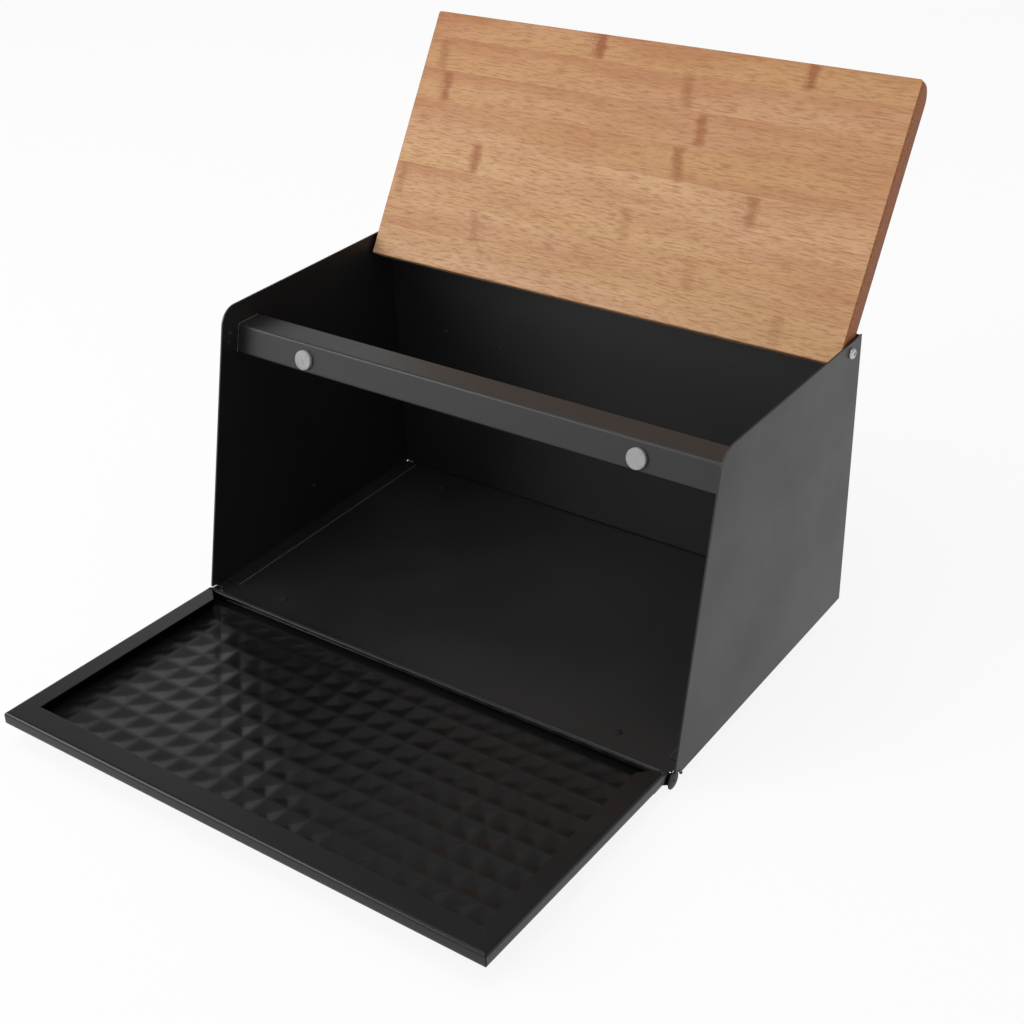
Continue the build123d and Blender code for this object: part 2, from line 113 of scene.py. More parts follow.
def powder_coat(name, black, shine, gloss_rough, matte_rough, skin):
    # Orange peel 1.3 mm across, dull patches some centimetres wide, dust specks, and edges painted lighter
    # for a thinner coat and a painted highlight. Gives the material, the node that rounds its edges and the
    # node of its skin.
    material, shader = new_material(name)
    shader.inputs["Specular IOR Level"].default_value = shine
    place = (add(material, "ShaderNodeTexCoord"), "Object")
    rounded = add(material, "ShaderNodeBevel", {"Radius": edge_round}, samples=4)
    flat = add(material, "ShaderNodeNewGeometry")
    edge_turn = add(material, "ShaderNodeVectorMath", operation="DOT_PRODUCT")
    join(material, (rounded, "Normal"), (edge_turn, 0))
    join(material, (flat, "Normal"), (edge_turn, 1))
    # Painted highlight, with a thinner coat: edges where the rounded normal turns are coloured lighter.
    edge_thinning_and_highlight = band(material, (edge_turn, "Value"), 0.97, 0.75)
    specks = band(material, noise(material, place, dust_scale, 2.0, 0.7), 0.73, 0.78)
    edge_lightened = blend_color(material, edge_thinning_and_highlight, black, thin_coat_and_edge_highlight)
    dusty = blend_color(material, specks, edge_lightened, coat_dust)
    join(material, dusty, (shader, "Base Color"))
    patches = noise(material, place, patch_scale, 4.0, 0.55)
    join(material, band(material, patches, 0.35, 0.65, gloss_rough, matte_rough), (shader, "Roughness"))
    bump = add(material, "ShaderNodeBump", {"Strength": skin, "Distance": peel_depth})
    join(material, noise(material, place, peel_scale, 2.0), (bump, "Height"))
    join(material, (rounded, "Normal"), (bump, "Normal"))
    join(material, (bump, "Normal"), (shader, "Normal"))
    return material, rounded, bump


def dress(node_name, material):
    # A CAD piece keeps its own mesh and takes this finish.
    mesh = nodes[node_name].data
    mesh.materials.clear()
    mesh.materials.append(material)


panel_coat = powder_coat("panel_powder_coat", coat_black, 0.5, 0.38, 0.46, 0.30)[0]
for panel in ("left_side_panel", "right_side_panel", "back_panel", "floor_panel"):
    dress(panel, panel_coat)


# Spot weld marks: where the electrodes pressed the flanges together they left shallow round dents with
# a raised rim, coated over with the rest. They show on the left wall and on the back.
weld_radius = 0.0013
weld_height = 0.00022
weld_steps = 20
# Each ring's place, as a part of the radius and of the height.
weld_profile = ((0.45, 0.25), (0.7, 1.0), (0.85, 0.9), (1.0, 0.0))
sharp_edge = radians(38)
wall_x = -0.169
back_face_y = 0.1489
weld_places = (
    ((wall_x, -0.0078, 0.1703), (1, 0, 0)),
    ((wall_x, -0.0097, 0.1654), (1, 0, 0)),
    ((wall_x, 0.0501, 0.0354), (1, 0, 0)),
    ((-0.1264, back_face_y, 0.1205), (0, -1, 0)),
    ((-0.0817, back_face_y, 0.1193), (0, -1, 0)),
)


def piece_of(name, build, material, body):
    # Turns a built mesh into a piece of the part, with its finish, its body and its material slot.
    bmesh.ops.recalc_face_normals(build, faces=build.faces)
    for edge in build.edges:
        edge.smooth = len(edge.link_faces) == 2 and edge.calc_face_angle() < sharp_edge
    mesh = bpy.data.meshes.new(name)
    build.to_mesh(mesh)
    build.free()
    mesh.materials.append(material)
    for face in mesh.polygons:
        face.use_smooth = True
    piece = bpy.data.objects.new(name, mesh)
    bpy.context.scene.collection.objects.link(piece)
    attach(piece, body)
    return piece


def bridge(build, rings):
    # Skins a row of rings with the same number of points, each ring closed on itself.
    for inner, outer in zip(rings, rings[1:]):
        for step in range(len(inner)):
            after = (step + 1) % len(inner)
            build.faces.new((inner[step], outer[step], outer[after], inner[after]))


def weld_mark(name, place, normal):
    # A ring of metal round a flat middle, standing on the sheet.
    build = bmesh.new()
    rings = []
    for width, height in weld_profile:
        ring = []
        for step in range(weld_steps):
            angle = 2 * pi * step / weld_steps
            reach = width * weld_radius
            ring.append(build.verts.new((reach * cos(angle), reach * sin(angle), height * weld_height)))
        rings.append(ring)
    build.faces.new(rings[0])
    build.faces.new(rings[-1])
    bridge(build, rings)
    turn = Vector((0, 0, 1)).rotation_difference(Vector(normal)).to_matrix().to_4x4()
    build.transform(Matrix.Translation(place) @ turn)
    piece_of(name, build, panel_coat, "case")


for number, (place, normal) in enumerate(weld_places):
    weld_mark(f"spot_weld_{number + 1}", place, normal)


# Crossbar: one folded channel that stiffens the open front and carries the lid's front edge. Its end
# tabs are welded to the side panels, and it is coated with them.
dress("crossbar", panel_coat)


# Weld seams: thin beads where the crossbar's ends meet the side panels, where their foot flanges lie on
# the floor and in the floor's front corners, and the lip of coating round each hinge notch. The beads on
# the crossbar and the floor are coloured grey as a painted highlight along the seams.
# Painted highlight: the grey given to the seam beads on the crossbar and the floor.
seam_highlight_grey = (0.062, 0.062, 0.064, 1)
bead_steps = 8
bar_bead = 0.00042
bar_face = 0.0179
bar_lean = atan2(0.042, 0.179)
floor_bead = 0.00050
floor_top = 0.0083
flange_edge = 0.1590
flange_start = -0.0385
flange_end = 0.1462
corner_start = -0.0456
# A corner bead's layer, its distance from the middle of the case, its height and its radius. The left
# corner has a wider seam and two layers.
high_bead = ("high", 0.1689, 0.0079, 0.00065)
low_bead = ("low", 0.1679, 0.0068, 0.00125)
notch_bead = 0.0009
notch_radius = 0.0061
notch_x = 0.1694
notch_from = radians(14)
notch_to = radians(99)
notch_steps = 12
joints = {joint["name"]: joint for joint in frame["joints"]}
hinge_axis = Vector(joints["door_hinge"]["pos_m"])
seam_highlight_coat = powder_coat("seam_highlight_powder_coat", seam_highlight_grey, 0.5, 0.36, 0.44, 0.5)[0]


def weld_bead(name, path, radius, finish):
    # A bead along points in a plane beside a wall. Two waves of its width keep it uneven.
    build = bmesh.new()
    rings = []
    for number, spot in enumerate(path):
        before = path[max(number - 1, 0)]
        after = path[min(number + 1, len(path) - 1)]
        sideways = Vector((1, 0, 0))
        outward = (after - before).normalized().cross(sideways)
        swell = radius * (1 + 0.16 * sin(2.4 * number) + 0.10 * sin(5.1 * number + 1))
        ring = []
        for step in range(bead_steps):
            angle = 2 * pi * step / bead_steps
            ring.append(build.verts.new(spot + swell * (cos(angle) * outward + sin(angle) * sideways)))
        rings.append(ring)
    build.faces.new(rings[0])
    build.faces.new(rings[-1])
    bridge(build, rings)
    piece_of(name, build, finish, "case")


def straight_path(start, end, steps):
    return [start.lerp(end, step / steps) for step in range(steps + 1)]


bar_low, bar_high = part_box("crossbar")
for side, outward, corner_beads in (("left", -1, (low_bead, high_bead)), ("right", 1, (high_bead,))):
    # From the back of the bar's top forward to the bend and down the front to its lower edge.
    end_x = bar_low.x if outward < 0 else bar_high.x
    back = Vector((end_x, bar_high.y - 0.001, bar_high.z))
    bend = Vector((end_x, bar_low.y + bar_face * sin(bar_lean), bar_high.z))
    foot = bend - bar_face * Vector((0, sin(bar_lean), cos(bar_lean)))
    bar_path = straight_path(back, bend, 14)[:-1] + straight_path(bend, foot, 14)
    weld_bead(side + "_bar_weld", bar_path, bar_bead, seam_highlight_coat)
    front = Vector((outward * flange_edge, flange_start, floor_top))
    rear = Vector((outward * flange_edge, flange_end, floor_top))
    weld_bead(side + "_floor_weld", straight_path(front, rear, 80), floor_bead, seam_highlight_coat)
    for layer, bead_x, level, radius in corner_beads:
        corner = Vector((outward * bead_x, corner_start, level))
        behind = Vector((outward * bead_x, flange_start, level))
        weld_bead(f"{side}_{layer}_corner_weld", straight_path(corner, behind, 8), radius, panel_coat)
    notch_path = []
    for step in range(notch_steps + 1):
        angle = notch_from + (notch_to - notch_from) * step / notch_steps
        notch_path.append(hinge_axis + notch_radius * Vector((0, cos(angle), sin(angle))))
        notch_path[-1].x = outward * notch_x
    weld_bead(side + "_notch_lip", notch_path, notch_bead, panel_coat)


# Magnets: two nickel-plated discs that hold the door shut, each on a stem through the crossbar. The
# plating is pale and dull, finely turned, with a few handling marks.
nickel = (0.30, 0.30, 0.305, 1)
nickel_mark = (0.22, 0.22, 0.225, 1)


def dull_plate(name, colour, mark, rough, metal=0.55):
    # Marks about 3 mm across, over a grain of half a millimetre.
    material, shader = new_material(name)
    place = (add(material, "ShaderNodeTexCoord"), "Object")
    spread = band(material, noise(material, place, 320.0, 3.0, 0.6), 0.48, 0.72)
    join(material, blend_color(material, spread, colour, mark), (shader, "Base Color"))
    grain = noise(material, place, 2200.0, 2.0)
    join(material, band(material, grain, 0.3, 0.7, rough - 0.08, rough + 0.08), (shader, "Roughness"))
    shader.inputs["Metallic"].default_value = metal
    bump = add(material, "ShaderNodeBump", {"Strength": 0.2, "Distance": 0.00005})
    join(material, grain, (bump, "Height"))
    join(material, (bump, "Normal"), (shader, "Normal"))
    return material


magnet_plate = dull_plate("magnet_nickel_plate", nickel, nickel_mark, 0.50, 0.25)
for magnet in ("left_magnet", "right_magnet"):
    dress(magnet, magnet_plate)


# Door: one sheet pressed into a quilt of low pyramids and folded into a shallow pan with mitred flanges.
# Its coat is the case's, smoother where the press has stretched the metal, and the press has left the
# quilt soft, with round ridges. The hem at the hinge is pressed flatter than a full round.
# Painted shade: the door wears the case's coat, but its black is darker than the panels'.
door_shaded_black = (0.0048, 0.0048, 0.0051, 1)
# Where the quilt, the hem and the foot of the skin lie: their heights above the hinge's axis and their
# reach from it, both measured with the open door, and how much of their shading the press has flattened.
quilt_round = 0.0045
quilt_soft = 0.10
quilt_out_low = 0.0035
quilt_out_high = 0.0045
quilt_start = 0.0105
hem_flat = 0.70
hem_lean = -0.36
foot_flat = 0.85
hem_out = 0.0073
hem_blend = 0.0003
hem_end = 0.0088
door_tilt = radians(2.34)
door_up = (0, sin(door_tilt), cos(door_tilt))
door_along = (0, -cos(door_tilt), sin(door_tilt))
door_coat, door_edge, door_skin = powder_coat("door_powder_coat", door_shaded_black, 0.30, 0.22, 0.30, 0.22)


def math_node(material, operation, *values):
    # Each value is a number or a (node, socket) pair.
    node = add(material, "ShaderNodeMath", operation=operation)
    for number, value in enumerate(values):
        if isinstance(value, (int, float)):
            node.inputs[number].default_value = value
        else:
            join(material, value, (node, number))
    return (node, 0)


def door_distance(direction):
    # How far a point of the door lies from its pivot, in a direction that turns with the door.
    place = (add(door_coat, "ShaderNodeTexCoord"), "Object")
    node = add(door_coat, "ShaderNodeVectorMath", {1: direction}, operation="DOT_PRODUCT")
    join(door_coat, place, (node, 0))
    return math_node(door_coat, "SUBTRACT", (node, "Value"), Vector(direction).dot(hinge_axis))


door_out = door_distance(door_up)
door_reach = door_distance(door_along)
low_part = band(door_coat, door_out, quilt_out_low, quilt_out_high, 1.0, 0.0)
in_quilt = math_node(door_coat, "GREATER_THAN", door_reach, quilt_start)
skin_part = math_node(door_coat, "MULTIPLY", low_part, in_quilt)
join(door_coat, band(door_coat, skin_part, 0.0, 1.0, edge_round, quilt_round), (door_edge, "Radius"))
hem_rise = band(door_coat, door_out, hem_out - hem_blend, hem_out + hem_blend)
in_hem = math_node(door_coat, "LESS_THAN", door_reach, hem_end)
hem_part = math_node(door_coat, "MULTIPLY", in_hem, hem_rise)
# The shading leans towards the door's own plane, on whichever side of the sheet it is, and on the hem
# away from the hinge.
lean = add(door_coat, "ShaderNodeCombineXYZ", {2: door_up[2]})
join(door_coat, math_node(door_coat, "MULTIPLY_ADD", hem_part, hem_lean, door_up[1]), (lean, 1))
level = add(door_coat, "ShaderNodeVectorTransform", convert_from="OBJECT", convert_to="WORLD")
level.vector_type = "NORMAL"
join(door_coat, (lean, 0), (level, 0))
facing = add(door_coat, "ShaderNodeVectorMath", operation="DOT_PRODUCT")
join(door_coat, (door_edge, "Normal"), (facing, 0))
join(door_coat, (level, 0), (facing, 1))
own_side = add(door_coat, "ShaderNodeVectorMath", operation="SCALE")
join(door_coat, (level, 0), (own_side, 0))
join(door_coat, math_node(door_coat, "SIGN", (facing, "Value")), (own_side, "Scale"))
upright = band(door_coat, math_node(door_coat, "ABSOLUTE", (facing, "Value")), 0.4, 0.7)
soft = math_node(door_coat, "MULTIPLY", math_node(door_coat, "MULTIPLY", skin_part, upright), quilt_soft)
soft = math_node(door_coat, "MULTIPLY_ADD", hem_part, hem_flat, soft)
before_quilt = math_node(door_coat, "LESS_THAN", door_reach, quilt_start)
foot_part = math_node(door_coat, "MULTIPLY", low_part, before_quilt)
soft = math_node(door_coat, "MULTIPLY_ADD", foot_part, foot_flat, soft)
eased = add(door_coat, "ShaderNodeMix", data_type="VECTOR")
join(door_coat, soft, (eased, 0))
join(door_coat, (door_edge, "Normal"), (eased, 4))
join(door_coat, (own_side, 0), (eased, 5))
evened = add(door_coat, "ShaderNodeVectorMath", operation="NORMALIZE")
join(door_coat, (eased, 1), (evened, 0))
join(door_coat, (evened, 0), (door_skin, "Normal"))
dress("door_panel", door_coat)


# Door hinge: a zinc-plated rod in the curled edge of the floor, with black nylon washers inside the
# door's ears and push-on caps outside them.
zinc = (0.36, 0.36, 0.38, 1)
zinc_mark = (0.22, 0.22, 0.23, 1)
nylon_black = (0.007, 0.007, 0.008, 1)
nylon_scuff = (0.018, 0.018, 0.019, 1)
cap_profile = (
    (0.0, 0.0), (0.0036, 0.0), (0.0040, 0.0002), (0.0040, 0.0006), (0.0043, 0.0008), (0.0052, 0.0009),
    (0.0054, 0.0010), (0.0054, 0.0013), (0.0050, 0.0015), (0.0012, 0.0016), (0.0009, 0.00135),
    (0.0, 0.0013),
)
turned_steps = 48


def moulded(name, colour, scuff, rough, grain_scale, scuff_top=1.0):
    # Scuffed in patches, up to a height above the ground.
    material, shader = new_material(name)
    shader.inputs["Specular IOR Level"].default_value = 0.25
    place = (add(material, "ShaderNodeTexCoord"), "Object")
    grain = noise(material, place, grain_scale, 3.0)
    height = add(material, "ShaderNodeSeparateXYZ")
    join(material, place, (height, 0))
    spread = band(material, noise(material, place, grain_scale / 12, 3.0), 0.45, 0.75)
    below_top = band(material, (height, "Z"), scuff_top, scuff_top - 0.001)
    spread = math_node(material, "MULTIPLY", spread, below_top)
    join(material, blend_color(material, spread, colour, scuff), (shader, "Base Color"))
    join(material, band(material, grain, 0.3, 0.7, rough - 0.06, rough + 0.06), (shader, "Roughness"))
    bump = add(material, "ShaderNodeBump", {"Strength": 0.3, "Distance": 0.0001})
    join(material, grain, (bump, "Height"))
    join(material, (bump, "Normal"), (shader, "Normal"))
    return material


def turned(profile, place, axis, flats=()):
    # A turned shape from (radius, height) points, with the height along the axis. The rings whose numbers
    # are in flats are hexagons instead of circles.
    build = bmesh.new()
    rings = []
    tips = []
    for number, (radius, height) in enumerate(profile):
        if radius == 0.0:
            tips.append(build.verts.new((0, 0, height)))
            continue
        ring = []
        for step in range(turned_steps):
            angle = 2 * pi * step / turned_steps
            reach = radius
            if number in flats:
                reach *= cos(pi / 6) / cos(angle % (pi / 3) - pi / 6)
            ring.append(build.verts.new((reach * cos(angle), reach * sin(angle), height)))
        rings.append(ring)
    bridge(build, rings)
    for tip, ring in ((tips[0], rings[0]), (tips[1], rings[-1])):
        for step in range(turned_steps):
            build.faces.new((ring[step], ring[(step + 1) % turned_steps], tip))
    turn = Vector((0, 0, 1)).rotation_difference(Vector(axis)).to_matrix().to_4x4()
    build.transform(Matrix.Translation(place) @ turn)
    return build


dress("hinge_rod", dull_plate("hinge_rod_zinc", zinc, zinc_mark, 0.38))
nylon = moulded("hinge_nylon", nylon_black, nylon_scuff, 0.48, 1600.0)
for small_part in ("left_hinge_washer", "right_hinge_washer"):
    dress(small_part, nylon)
for side, outward in (("left", -1), ("right", 1)):
    cap_low, cap_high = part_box(side + "_hinge_cap")
    inner_x = cap_low.x if outward > 0 else cap_high.x
    cap_place = (inner_x, (cap_low.y + cap_high.y) / 2, (cap_low.z + cap_high.z) / 2)
    cap = turned(cap_profile, cap_place, (outward, 0, 0))
    cap = piece_of(side + "_push_cap", cap, nylon, "case")
    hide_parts(side + "_hinge_cap")


# Feet: tapered studs of black rubber with a dished tread, each pushed through a hole in the floor, where
# a small lip holds it.
rubber_black = (0.008, 0.008, 0.008, 1)
rubber_dust = (0.045, 0.043, 0.040, 1)
foot_profile = (
    (0.0, 0.0012), (0.0034, 0.0012), (0.0042, 0.0), (0.0062, 0.0), (0.0068, 0.0004), (0.0070, 0.0012),
    (0.0074, 0.0062), (0.0075, 0.0066), (0.0075, 0.0070), (0.0020, 0.0070), (0.0020, 0.0080),
    (0.0023, 0.0080), (0.0023, 0.0082), (0.0019, 0.0085), (0.0010, 0.0086), (0.0, 0.0086),
)
foot_rubber = moulded("foot_rubber", rubber_black, rubber_dust, 0.72, 900.0, 0.004)
for corner in ("left_front", "left_rear", "right_front", "right_rear"):
    foot_low, foot_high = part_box(corner + "_foot")
    foot_place = ((foot_low.x + foot_high.x) / 2, (foot_low.y + foot_high.y) / 2, foot_low.z)
    foot = turned(foot_profile, foot_place, (0, 0, 1))
    foot = piece_of(corner + "_stud", foot, foot_rubber, "case")
    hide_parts(corner + "_foot")


# Lid: a bamboo board glued up from strips laid side by side, sanded and oiled. Each strip has its own
# tone, short fine fibres along its length, and now and then a brown knuckle across it, where the stalk
# had a joint. Its ends show the cut fibres, darker, and are darkened further with painted shade.
lid_hinge = joints["lid_hinge"]
lid_pivot = Vector(lid_hinge["pos_m"])
lid_open = radians(lid_hinge["range_deg"][1])
board_reach = 0.1544
strip_width = 0.021
strip_shift = 0.0045
bamboo_pale = (0.590, 0.365, 0.205, 1)
bamboo_warm = (0.340, 0.125, 0.038, 1)
bamboo_gold = (0.490, 0.285, 0.120, 1)
bamboo_fibre = (0.290, 0.120, 0.046, 1)
bamboo_knuckle = (0.265, 0.085, 0.028, 1)
# Ends: the end grain's own darker tone, with painted shade in it.
bamboo_end_grain_and_shade = (0.345, 0.105, 0.030, 1)
bamboo_end_dot = (0.150, 0.055, 0.025, 1)
# Noise scales per metre along the strips, across them and through the board.
fibre_scales = (100.0, 880.0, 880.0)
pore_scales = (260.0, 2200.0, 2200.0)
cloud_scales = (7.0, 55.0, 55.0)
gilt_scales = (5.0, 34.0, 34.0)
wander_scales = (22.0, 40.0, 40.0)
glue_scales = (16.0, 20.0, 20.0)
end_scales = (60.0, 1100.0, 1100.0)
fibre_sway = 0.0030
knuckle_core = 0.0014
knuckle_fade = 0.0054
knuckle_rag = 0.0070
# Strip counted from the free edge, place along it, darkness, slant over the strip's width, and the
# length and side of the speckled halo.
knuckles = (
    (0, -0.0400, 0.95, 0.0005, -0.014), (0, 0.1020, 0.85, 0.0010, 0.0), (1, -0.1540, 0.50, 0.0020, 0.008),
    (1, 0.0275, 0.50, 0.0040, -0.006), (2, -0.1450, 0.75, 0.0010, -0.008), (2, 0.0430, 0.70, 0.0030, 0.0),
    (3, 0.0345, 0.65, 0.0050, 0.004), (4, -0.1075, 0.70, 0.0010, 0.0), (4, 0.0895, 0.60, 0.0010, -0.012),
    (5, -0.1600, 0.50, 0.0010, 0.008), (5, 0.0110, 0.35, 0.0020, 0.0), (6, -0.0940, 0.40, 0.0060, 0.004),
    (6, 0.0620, 0.22, 0.0050, 0.0), (7, 0.1250, 0.30, 0.0020, 0.0),
)


def stretched(material, split, scales, shift):
    # The board's own coordinates, drawn out along the strips and shifted from strip to strip.
    spread = add(material, "ShaderNodeCombineXYZ")
    for number, (value, scale) in enumerate(zip(split, scales)):
        scaled = math_node(material, "MULTIPLY", value, scale)
        if number == 0:
            scaled = math_node(material, "ADD", scaled, shift)
        join(material, scaled, (spread, number))
    return (spread, 0)


def bamboo_board(name):
    material, shader = new_material(name)
    shader.inputs["Specular IOR Level"].default_value = 0.35
    # Board coordinates: x along the strips, y from the pivot to the free edge, z out of the face that
    # is inside when the lid is shut.
    place = add(material, "ShaderNodeMapping", vector_type="TEXTURE")
    place.inputs["Location"].default_value = lid_pivot
    place.inputs["Rotation"].default_value = (pi - lid_open, 0, 0)
    sheet = add(material, "ShaderNodeTexCoord")
    join(material, (sheet, "Object"), (place, "Vector"))
    split = add(material, "ShaderNodeSeparateXYZ")
    join(material, (place, 0), (split, 0))
    along, straight, through = ((split, axis) for axis in ("X", "Y", "Z"))
    run = math_node(material, "MULTIPLY", along, math_node(material, "SIGN", through))
    # The fibres wander a little.
    wander = stretched(material, (along, straight, through), wander_scales, 0.0)
    sway = noise(material, wander, 1.0, 2.0)
    sway = math_node(material, "MULTIPLY_ADD", sway, fibre_sway, -fibre_sway / 2)
    across = math_node(material, "ADD", straight, sway)
    # Strips are counted from the free edge.
    depth = math_node(material, "SUBTRACT", board_reach + strip_shift, straight)
    count = math_node(material, "DIVIDE", depth, strip_width)
    index = math_node(material, "FLOOR", count)
    in_strip = math_node(material, "FRACT", count)
    tone = add(material, "ShaderNodeTexWhiteNoise", noise_dimensions="1D")
    join(material, index, (tone, "W"))
    shift = math_node(material, "MULTIPLY", index, 3.7)
    board = (along, across, through)
    fibres = noise(material, stretched(material, board, fibre_scales, shift), 1.0, 3.0, 0.6)
    pores = noise(material, stretched(material, board, pore_scales, shift), 1.0, 2.0, 0.5)
    clouds = noise(material, stretched(material, board, cloud_scales, shift), 1.0, 3.0, 0.55)
    # Ground: the strip's tone, slow clouds, and warmer towards the free edge.
    deep = math_node(material, "MULTIPLY_ADD", straight, 4.0, -0.18)
    mixed = math_node(material, "MULTIPLY_ADD", (tone, "Value"), 0.30, deep)
    mixed = math_node(material, "ADD", mixed, band(material, clouds, 0.3, 0.7, 0.0, 0.55))
    ground = blend_color(material, band(material, mixed, 0.0, 1.1), bamboo_pale, bamboo_warm)
    gilt_shift = math_node(material, "ADD", shift, 31.0)
    gilt = noise(material, stretched(material, board, gilt_scales, gilt_shift), 1.0)
    ground = blend_color(material, band(material, gilt, 0.46, 0.62, 0.0, 0.65), ground, bamboo_gold)
    streaks = band(material, fibres, 0.47, 0.66, 0.0, 0.66)
    streaked = blend_color(material, streaks, ground, bamboo_fibre)
    dots = band(material, pores, 0.53, 0.70, 0.0, 0.36)
    dotted = blend_color(material, dots, streaked, bamboo_fibre)
    # A knuckle is a ragged brown band across one strip, broken up by the fibres, with a speckled halo.
    rag = noise(material, (place, 0), 240.0, 3.0, 0.65)
    ragged = math_node(material, "ADD", run, -knuckle_rag / 2)
    ragged = math_node(material, "MULTIPLY_ADD", rag, knuckle_rag, ragged)
    middle = math_node(material, "SUBTRACT", in_strip, 0.5)
    speckle = band(material, noise(material, (place, 0), 900.0, 2.0, 0.6), 0.40, 0.60)
    marks = 0.0
    for strip, spot, dark, slant, halo in knuckles:
        line = math_node(material, "MULTIPLY_ADD", middle, slant, spot)
        apart = math_node(material, "SUBTRACT", ragged, line)
        near = band(material, math_node(material, "ABSOLUTE", apart), knuckle_core, knuckle_fade, dark, 0.0)
        if halo:
            reach = math_node(material, "DIVIDE", apart, halo)
            cloud = band(material, math_node(material, "ABSOLUTE", reach), 0.2, 1.0, 0.9 * dark, 0.0)
            cloud = math_node(material, "MULTIPLY", cloud, math_node(material, "GREATER_THAN", reach, 0.0))
            near = math_node(material, "MAXIMUM", near, math_node(material, "MULTIPLY", cloud, speckle))
        same = math_node(material, "COMPARE", index, float(strip), 0.5)
        marks = math_node(material, "MAXIMUM", marks, math_node(material, "MULTIPLY", near, same))
    inside = band(material, math_node(material, "ABSOLUTE", middle), 0.38, 0.5, 1.0, 0.2)
    broken = band(material, fibres, 0.38, 0.62, 0.72, 1.0)
    knuckle = math_node(material, "MULTIPLY", math_node(material, "MULTIPLY", marks, inside), broken)
    marked = blend_color(material, math_node(material, "MULTIPLY", knuckle, 1.2), dotted, bamboo_knuckle)
    # The glue lines show here and there as a thin dark line.
    glue = band(material, math_node(material, "ABSOLUTE", middle), 0.488, 0.498)
    open_glue = noise(material, stretched(material, board, glue_scales, 9.0), 1.0)
    open_glue = band(material, open_glue, 0.52, 0.62)
    lined = math_node(material, "MULTIPLY", math_node(material, "MULTIPLY", glue, open_glue), 0.55)
    glued = blend_color(material, lined, marked, bamboo_knuckle)
    # The ends show the cut fibres, in a darker colour that is partly painted shade.
    facing = add(material, "ShaderNodeSeparateXYZ")
    join(material, (sheet, "Normal"), (facing, 0))
    end = band(material, math_node(material, "ABSOLUTE", (facing, 0)), 0.60, 0.72)
    ends = noise(material, stretched(material, (along, straight, through), end_scales, shift), 1.0, 2.0)
    end_grain_and_shade_colour = blend_color(material, band(material, ends, 0.48, 0.62), bamboo_end_grain_and_shade, bamboo_end_dot)
    join(material, blend_color(material, end, glued, end_grain_and_shade_colour), (shader, "Base Color"))
    join(material, band(material, fibres, 0.3, 0.7, 0.52, 0.64), (shader, "Roughness"))
    eased = add(material, "ShaderNodeBevel", {"Radius": 0.0006}, samples=4)
    bump = add(material, "ShaderNodeBump", {"Strength": 0.35, "Distance": 0.00012})
    join(material, fibres, (bump, "Height"))
    join(material, (eased, "Normal"), (bump, "Normal"))
    join(material, (bump, "Normal"), (shader, "Normal"))
    return material


dress("lid_board", bamboo_board("lid_bamboo"))


# Pivot screws and inserts: stainless button-head screws with a hexagon socket, through the side panels
# and a nylon washer into brass sleeves pressed into the ends of the board.
steel = (0.62, 0.62, 0.63, 1)
steel_mark = (0.34, 0.34, 0.35, 1)
brass = (0.62, 0.42, 0.14, 1)
brass_mark = (0.38, 0.24, 0.08, 1)
head_height = 0.0022
shank_radius = 0.0020
socket_radius = 0.0013
socket_floor = 0.0009
tip_cut = 0.0004
screw_finish = dull_plate("screw_stainless", steel, steel_mark, 0.30)
insert_finish = dull_plate("insert_brass", brass, brass_mark, 0.35)
for side, outward in (("left", -1), ("right", 1)):
    dress(side + "_thread_insert", insert_finish)
    dress(side + "_spacer_washer", nylon)
    screw_low, screw_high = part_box(side + "_pivot_screw")
    length = screw_high.x - screw_low.x - head_height
    base_x = (screw_high.x if outward > 0 else screw_low.x) - outward * head_height
    screw_profile = (
        (0.0, socket_floor - tip_cut), (socket_radius, socket_floor), (socket_radius, head_height - 0.0002),
        (0.00160, head_height), (0.00215, 0.00205), (0.00265, 0.00165), (0.00300, 0.00115),
        (0.00318, 0.00060), (0.00320, 0.00015), (0.00310, 0.0), (shank_radius, 0.0),
        (shank_radius, tip_cut - length), (shank_radius - tip_cut, -length), (0.0, -length),
    )
    screw = turned(screw_profile, (base_x, lid_pivot.y, lid_pivot.z), (outward, 0, 0), flats=(1, 2))
    screw = piece_of(side + "_button_screw", screw, screw_finish, "lid")
    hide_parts(side + "_pivot_screw")


# Stage: a white floor under a white tent that dims from the horizon to the top, a large soft lamp at the
# front left, one overhead and a soft panel behind on the left.
floor_size = 6.0
floor_white = (0.90, 0.90, 0.90, 1)
floor_seen = 0.88
floor_mirrored = 0.8
tent_top = 0.42
tent_low = 0.12
tent_high = 0.55
lamp_aim = (0, 0, 0.1)
floor_mesh = bpy.data.meshes.new("stage_floor")
edge = floor_size / 2
floor_corners = [(-edge, -edge, 0), (edge, -edge, 0), (edge, edge, 0), (-edge, edge, 0)]
floor_mesh.from_pydata(floor_corners, [], [(0, 1, 2, 3)])
floor = bpy.data.objects.new("stage_floor", floor_mesh)
bpy.context.scene.collection.objects.link(floor)
floor_paint, floor_shader = new_material("stage_paint")
floor_shader.inputs["Base Color"].default_value = floor_white
floor_shader.inputs["Roughness"].default_value = 0.9
floor_shader.inputs["Specular IOR Level"].default_value = 0.0
rays = add(floor_paint, "ShaderNodeLightPath")
seen = math_node(floor_paint, "MULTIPLY", (rays, "Is Camera Ray"), floor_seen)
mirrored = math_node(floor_paint, "MULTIPLY", (rays, "Is Glossy Ray"), floor_mirrored)
glow = add(floor_paint, "ShaderNodeEmission", {"Color": (1, 1, 1, 1), "Strength": 1.0})
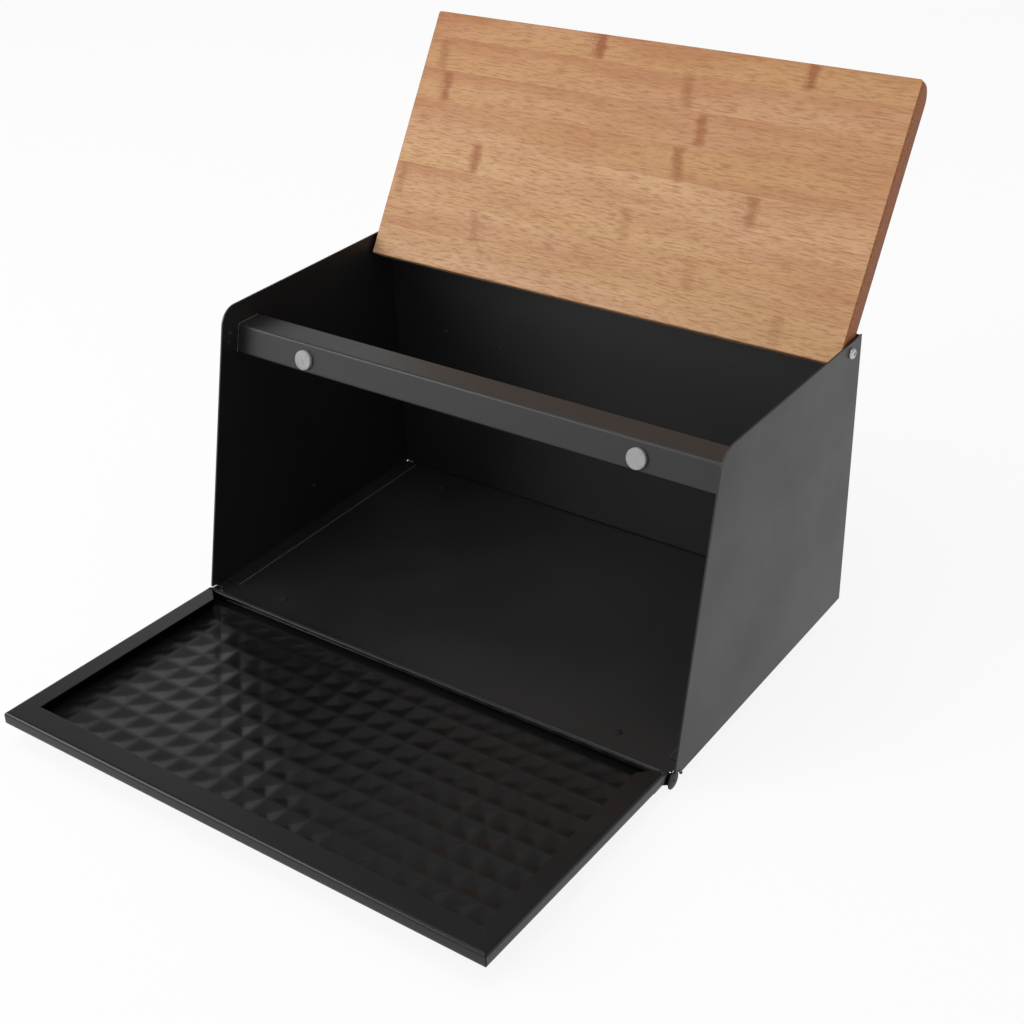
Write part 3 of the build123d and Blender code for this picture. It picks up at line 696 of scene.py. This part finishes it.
blend = add(floor_paint, "ShaderNodeMixShader")
join(floor_paint, math_node(floor_paint, "MAXIMUM", seen, mirrored), (blend, 0))
join(floor_paint, (floor_shader, "BSDF"), (blend, 1))
join(floor_paint, (glow, "Emission"), (blend, 2))
output = floor_paint.node_tree.nodes["Material Output"]
join(floor_paint, (blend, "Shader"), (output, "Surface"))
floor_mesh.materials.append(floor_paint)

world = bpy.data.worlds.new("light_tent")
bpy.context.scene.world = world
world.use_nodes = True
tent = world.node_tree.nodes["Background"]
tent.inputs["Color"].default_value = (1, 1, 1, 1)
way = add(world, "ShaderNodeSeparateXYZ")
join(world, (add(world, "ShaderNodeTexCoord"), "Generated"), (way, 0))
tent_glow = band(world, (way, "Z"), tent_low, tent_high, 1.0, tent_top)
sight = (add(world, "ShaderNodeLightPath"), "Is Camera Ray")
join(world, math_node(world, "MAXIMUM", tent_glow, sight), (tent, "Strength"))


def soft_light(name, place, size, power):
    lamp = bpy.data.lights.new(name, "AREA")
    lamp.shape = "RECTANGLE"
    lamp.size, lamp.size_y = size
    lamp.energy = power
    light = bpy.data.objects.new(name, lamp)
    bpy.context.scene.collection.objects.link(light)
    light.location = place
    light.rotation_euler = (Vector(lamp_aim) - Vector(place)).to_track_quat("-Z", "Y").to_euler()
    light.visible_camera = False


soft_light("front_left_lamp", (-1.36, -1.45, 1.05), (1.2, 1.2), 24.0)
soft_light("overhead_lamp", (-0.2, -0.2, 2.2), (1.4, 1.4), 15.0)
soft_light("back_panel_lamp", (-1.46, 1.19, 1.0), (0.5, 0.9), 0.5)

scene = bpy.context.scene
scene.view_settings.view_transform = "Standard"

# Camera: the photograph's viewing angle, above the right front corner.
camera_data = bpy.data.cameras.new("camera")
camera_data.sensor_width = 36.0
camera_data.lens = 56.39
camera = bpy.data.objects.new("camera", camera_data)
bpy.context.scene.collection.objects.link(camera)
camera.location = (0.491025, -0.633221, 0.570163)
camera.rotation_euler = (radians(59.1552), radians(1.8217), radians(34.8948))
scene.camera = camera
